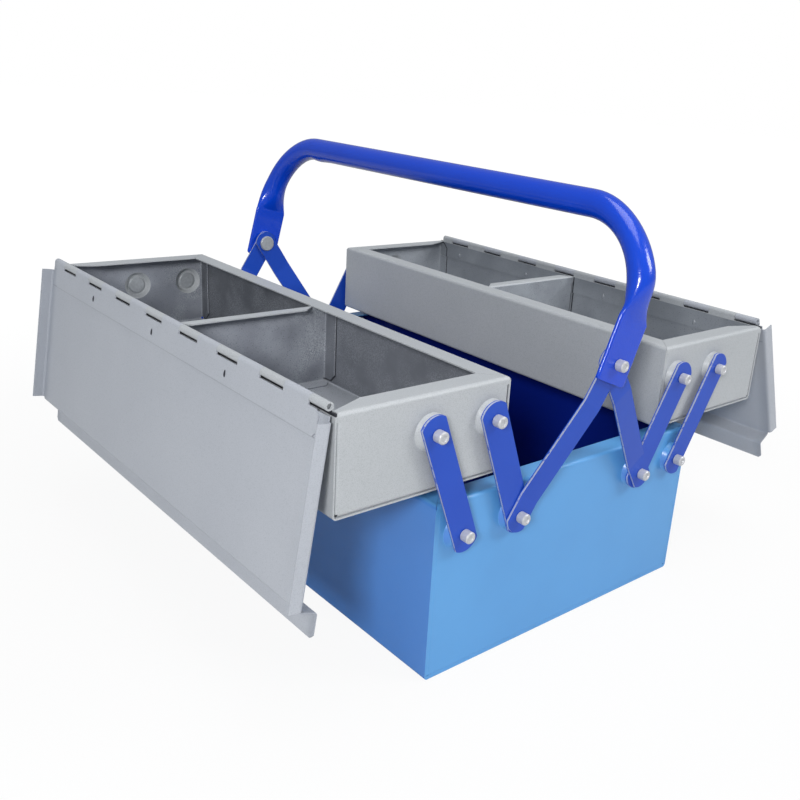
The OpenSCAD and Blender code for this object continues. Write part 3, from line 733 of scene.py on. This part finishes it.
def make_seam_fills():
    for end, name in ((1, "near"), (-1, "far")):
        shape = bmesh.new()
        inner = BASE_HALF_W - SHEET_T
        foot = [[(end * (HALF_L - d), y, SHEET_T + e) for d, e in fill_section()]
                for y in (FILL_END - inner, inner - FILL_END)]
        runs = [foot]
        for side in (1, -1):
            runs.append([[(end * (HALF_L - d), side * (inner - e), z) for d, e in fill_section()]
                         for z in FILL_Z])
        for low, high in runs:
            low, high = ([shape.verts.new(Vector(p) * MM) for p in ring] for ring in (low, high))
            for k in range(len(low)):
                j = (k + 1) % len(low)
                shape.faces.new((low[k], low[j], high[j], high[k]))
            shape.faces.new(low)
            shape.faces.new(high)
        bmesh.ops.recalc_face_normals(shape, faces=shape.faces)
        mesh = to_mesh(f"base_seam_paint_{name}", shape)
        new_piece(mesh.name, mesh, "base", "base_blue", BASE_PAINT)


make_seam_fills()


# Stakes that hold the hinge leaves: half-round tongues lanced out of the sheet

LID_LEAF_FACE_Y = 2.65
TRAY_LEAF_FACE_Y = 126
LID_STAKE_DROP = 12.1
LID_STAKE_TALL = 4.6
TRAY_STAKE_Z = 50.5
TRAY_STAKE_TALL = 4.5
LID_STAKES_X = (-91.1, 10.5, 112.1)
TRAY_STAKES_X = (-167.3, -65.7, 35.9, 137.5)
STAKE_W = 1.9
STAKE_RISE = 0.85
STAKE_GAP = 0.9
STAKE_SUNK = 0.1
# Least width of a stake, as a share, and heights above the leaf of the two edges of the dark gap, a strip of
# painted shadow
STAKE_LEAST = 0.12
SLIT_RISE = (0.03, 0.04)
SLIT_LIP = 0.1
STAKE_SHARES = (0.3, 0.6, 0.85, 1)
STAKE_STEPS = 12


def stake(shape, place, tall):
    """One tongue and the dark gap at its cut side, a strip of painted shadow, drawn from across, up and off the
    leaf's face.
    """
    rows = []
    for i in range(STAKE_STEPS + 1):
        t = math.pi * (i / STAKE_STEPS - 0.5)
        bulge, up = max(STAKE_LEAST, math.cos(t)), tall / 2 * math.sin(t)
        top = [(-STAKE_GAP * bulge, SLIT_RISE[0]), (-STAKE_GAP * SLIT_LIP, SLIT_RISE[1]), (0, STAKE_RISE * bulge)]
        top += [(STAKE_W * bulge * s, STAKE_RISE * bulge * math.cos(math.pi / 2 * s)) for s in STAKE_SHARES]
        row = top + [(top[-1][0], -STAKE_SUNK), (top[0][0], -STAKE_SUNK)]
        rows.append([shape.verts.new(place(a, up, h)) for a, h in row])
    for low, high in zip(rows, rows[1:]):
        for k in range(len(low)):
            j = (k + 1) % len(low)
            shape.faces.new((low[k], low[j], high[j], high[k])).material_index = 1 if k < 2 else 0
    shape.faces.new(rows[0])
    shape.faces.new(rows[-1])


def make_stakes(side):
    flip = turned(side)
    tray_y, tray_z = TRAY_PLACE[side]
    hang = LID_HANG[side]

    def on_lid(x):
        def place(a, up, h):
            y, z = LID_LEAF_FACE_Y + h, up - LID_STAKE_DROP
            y, z = y * math.cos(hang) - z * math.sin(hang), y * math.sin(hang) + z * math.cos(hang)
            return Vector((flip * (x + a), flip * (tray_y + HINGE_Y + y), tray_z + HINGE_Z + z)) * MM
        return place

    def on_tray(x):
        def place(a, up, h):
            y, z = TRAY_LEAF_FACE_Y - h, TRAY_STAKE_Z + up
            return Vector((flip * (x + a), flip * (tray_y + y), tray_z + z)) * MM
        return place

    for part, spots, place, tall, paint in (
            ("lid", LID_STAKES_X, on_lid, LID_STAKE_TALL, LID_PAINT[side]),
            ("tray", TRAY_STAKES_X, on_tray, TRAY_STAKE_TALL, TRAY_PAINT[side])):
        shape = bmesh.new()
        for x in spots:
            stake(shape, place(x), tall)
        bmesh.ops.recalc_face_normals(shape, faces=shape.faces)
        mesh = to_mesh(f"{side}_{part}_leaf_stakes", shape)
        new_piece(mesh.name, mesh, f"{side}_{part}", "tray_grey", paint, SLIT_SHADOW)


for side in SIDES:
    make_stakes(side)


# Floor, world and lamps

FLOOR_HALF = 8.0
FLOOR_Z = -0.0005
FLOOR_GREY = (0.6, 0.6, 0.6, 1)
FLOOR_GLOW = 1.02
# How far from the middle the camera's view of the floor turns white, and its share of white within that
FLOOR_FADE = (0.45, 0.9)
FLOOR_SHARE = 0.9
SKY_COLOUR = (0.9, 0.95, 1, 1)
SKY_STRENGTH = 0.33
LAMP_TARGET = Vector((0, 0, 0.12))


def make_floor():
    mesh = bpy.data.meshes.new("floor")
    a = FLOOR_HALF
    mesh.from_pydata([(-a, -a, 0), (a, -a, 0), (a, a, 0), (-a, a, 0)], [], [(0, 1, 2, 3)])
    floor = bpy.data.objects.new("floor", mesh)
    floor.location.z = FLOOR_Z
    bpy.context.scene.collection.objects.link(floor)
    material = bpy.data.materials.new("floor_white")
    material.use_nodes = True
    tree = material.node_tree
    tree.nodes.clear()
    out = tree.nodes.new("ShaderNodeOutputMaterial")
    matte = tree.nodes.new("ShaderNodeBsdfDiffuse")
    matte.inputs["Color"].default_value = FLOOR_GREY
    glow = tree.nodes.new("ShaderNodeEmission")
    glow.inputs["Strength"].default_value = FLOOR_GLOW
    # The camera sees it lit evenly, and pure white from a little way off
    path = tree.nodes.new("ShaderNodeLightPath")
    place = tree.nodes.new("ShaderNodeTexCoord")
    reach = tree.nodes.new("ShaderNodeVectorMath")
    reach.operation = "LENGTH"
    tree.links.new(place.outputs["Object"], reach.inputs[0])
    fade = tree.nodes.new("ShaderNodeMapRange")
    fade.inputs["From Min"].default_value = FLOOR_FADE[0]
    fade.inputs["From Max"].default_value = FLOOR_FADE[1]
    fade.inputs["To Min"].default_value = FLOOR_SHARE
    tree.links.new(reach.outputs["Value"], fade.inputs["Value"])
    share = tree.nodes.new("ShaderNodeMath")
    share.operation = "MULTIPLY"
    tree.links.new(path.outputs["Is Camera Ray"], share.inputs[0])
    tree.links.new(fade.outputs[0], share.inputs[1])
    mix = tree.nodes.new("ShaderNodeMixShader")
    tree.links.new(share.outputs[0], mix.inputs[0])
    tree.links.new(matte.outputs[0], mix.inputs[1])
    tree.links.new(glow.outputs[0], mix.inputs[2])
    tree.links.new(mix.outputs[0], out.inputs["Surface"])
    mesh.materials.append(material)


def make_world():
    """Soft sky light, which the camera and what is seen through the object take as white."""
    world = bpy.data.worlds.new("world")
    bpy.context.scene.world = world
    world.use_nodes = True
    tree = world.node_tree
    tree.nodes.clear()
    out = tree.nodes.new("ShaderNodeOutputWorld")
    light = tree.nodes.new("ShaderNodeBackground")
    light.inputs["Color"].default_value = SKY_COLOUR
    light.inputs["Strength"].default_value = SKY_STRENGTH
    white = tree.nodes.new("ShaderNodeBackground")
    white.inputs["Color"].default_value = (1, 1, 1, 1)
    path = tree.nodes.new("ShaderNodeLightPath")
    seen = tree.nodes.new("ShaderNodeMath")
    seen.operation = "MAXIMUM"
    tree.links.new(path.outputs["Is Camera Ray"], seen.inputs[0])
    tree.links.new(path.outputs["Is Transmission Ray"], seen.inputs[1])
    mix = tree.nodes.new("ShaderNodeMixShader")
    tree.links.new(seen.outputs[0], mix.inputs[0])
    tree.links.new(light.outputs[0], mix.inputs[1])
    tree.links.new(white.outputs[0], mix.inputs[2])
    tree.links.new(mix.outputs[0], out.inputs["Surface"])


def make_lamp(name, place, size, power):
    """A square lamp of the size in metres and the power in watts, aimed at the box."""
    data = bpy.data.lights.new(name, "AREA")
    data.size = size
    data.energy = power
    lamp = bpy.data.objects.new(name, data)
    lamp.location = place
    lamp.rotation_mode = "QUATERNION"
    lamp.rotation_quaternion = (LAMP_TARGET - Vector(place)).to_track_quat("-Z", "Y")
    bpy.context.scene.collection.objects.link(lamp)


make_floor()
make_world()
make_lamp("key", (2.0, 1.9, 1.8), 1.1, 38)
make_lamp("top", (0.3, 0.2, 2.4), 1.6, 25)
make_lamp("front", (1.1, -1.4, 0.9), 0.36, 22)
